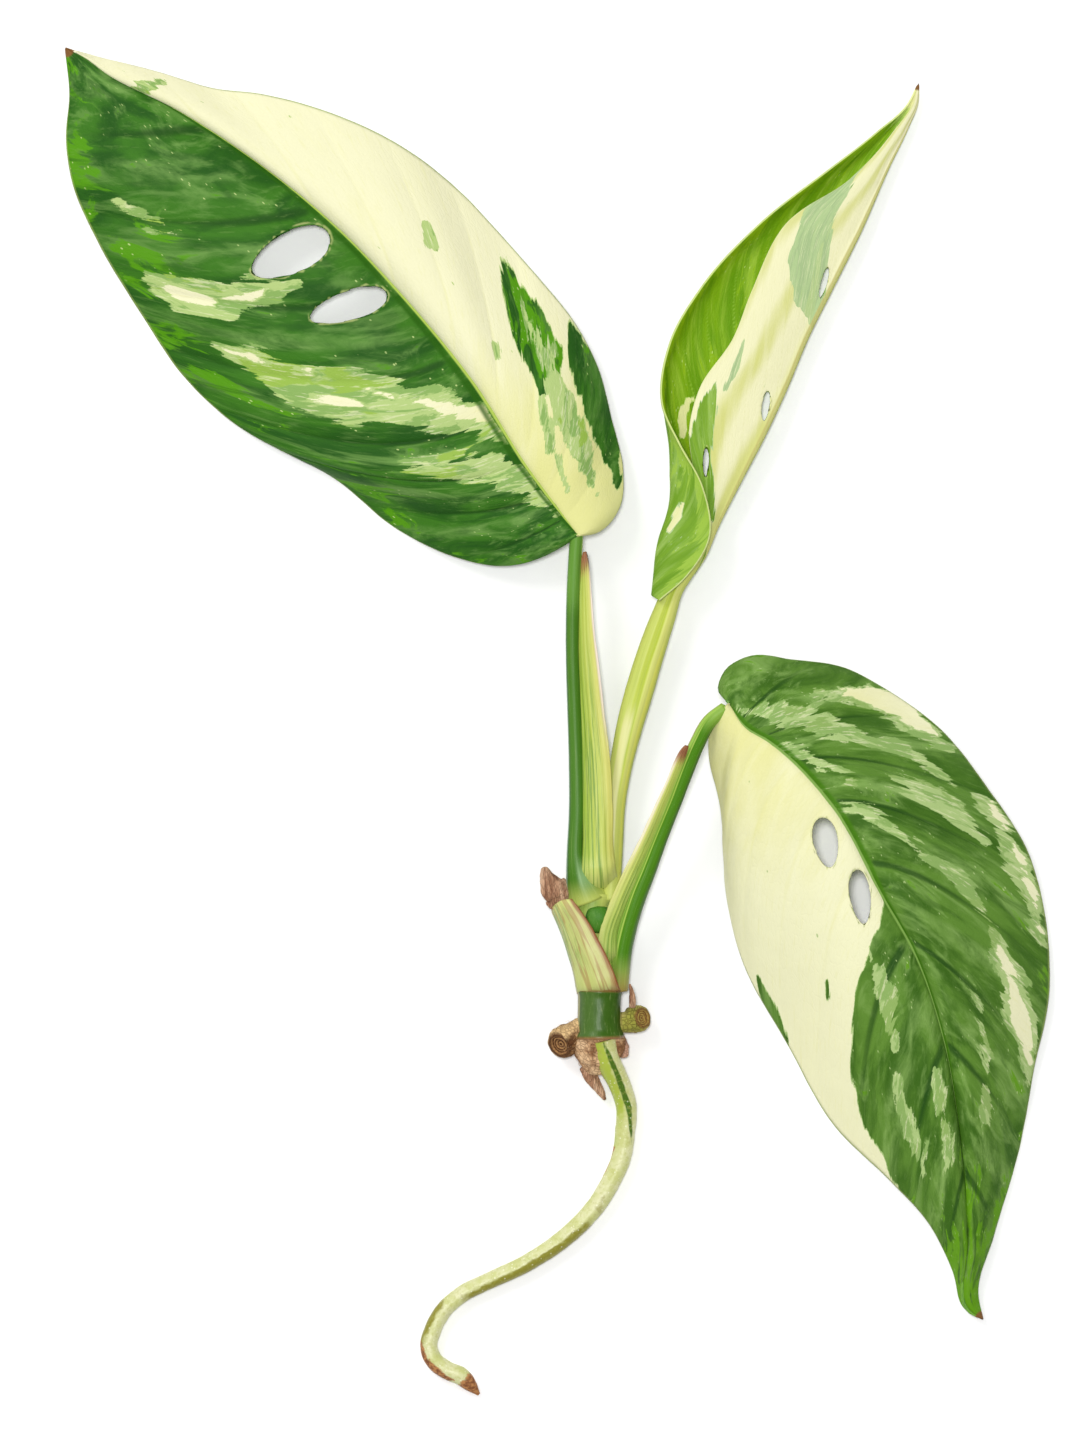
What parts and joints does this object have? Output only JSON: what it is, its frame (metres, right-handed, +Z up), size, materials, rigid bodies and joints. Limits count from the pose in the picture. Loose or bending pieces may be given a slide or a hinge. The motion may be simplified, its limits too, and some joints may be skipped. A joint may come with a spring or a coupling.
{
  "type": "monstera leaf cutting",
  "caption": "Variegated monstera stem cutting lying flat: broad half-cream, half-green leaves with holes on stalks, a short sheathed stem and a trailing aerial root.",
  "frame": {"origin": "middle of the cutting's footprint, on the surface that it lies on", "axes": "+Y runs from the root end up to the leaves, +Z is up from the surface"},
  "size_m": [0.2233, 0.3057, 0.023],
  "materials": {
    "blade_left": "satin",
    "blade_middle": "satin",
    "blade_right": "satin",
    "stalk_left": "satin",
    "stalk_middle": "satin",
    "stalk_right": "satin",
    "sheath": "satin",
    "old_sheath": "satin",
    "dry_sheath": "matte",
    "green_stem": "gloss",
    "cork": "matte",
    "root_stub": "matte",
    "root": "satin"
  },
  "bodies": {
    "root": {"leaf_blade_left": "blade_left", "leaf_blade_middle": "blade_middle", "leaf_blade_right": "blade_right", "petiole_left": "stalk_left", "petiole_middle": "stalk_middle", "petiole_right": "stalk_right", "petiole_sheath_left": "sheath", "petiole_sheath_right": "sheath", "old_sheath": "old_sheath", "old_sheath_tip": "dry_sheath", "axillary_bud": "green_stem", "stem_upper": "green_stem", "stem_lower": "green_stem", "node_cork": "cork", "aerial_root": "root", "root_stub_left": "root_stub", "root_stub_right": "root_stub", "root_stub_small": "root_stub", "dry_spike": "dry_sheath", "dry_scale": "dry_sheath"}
  },
  "joints": []
}
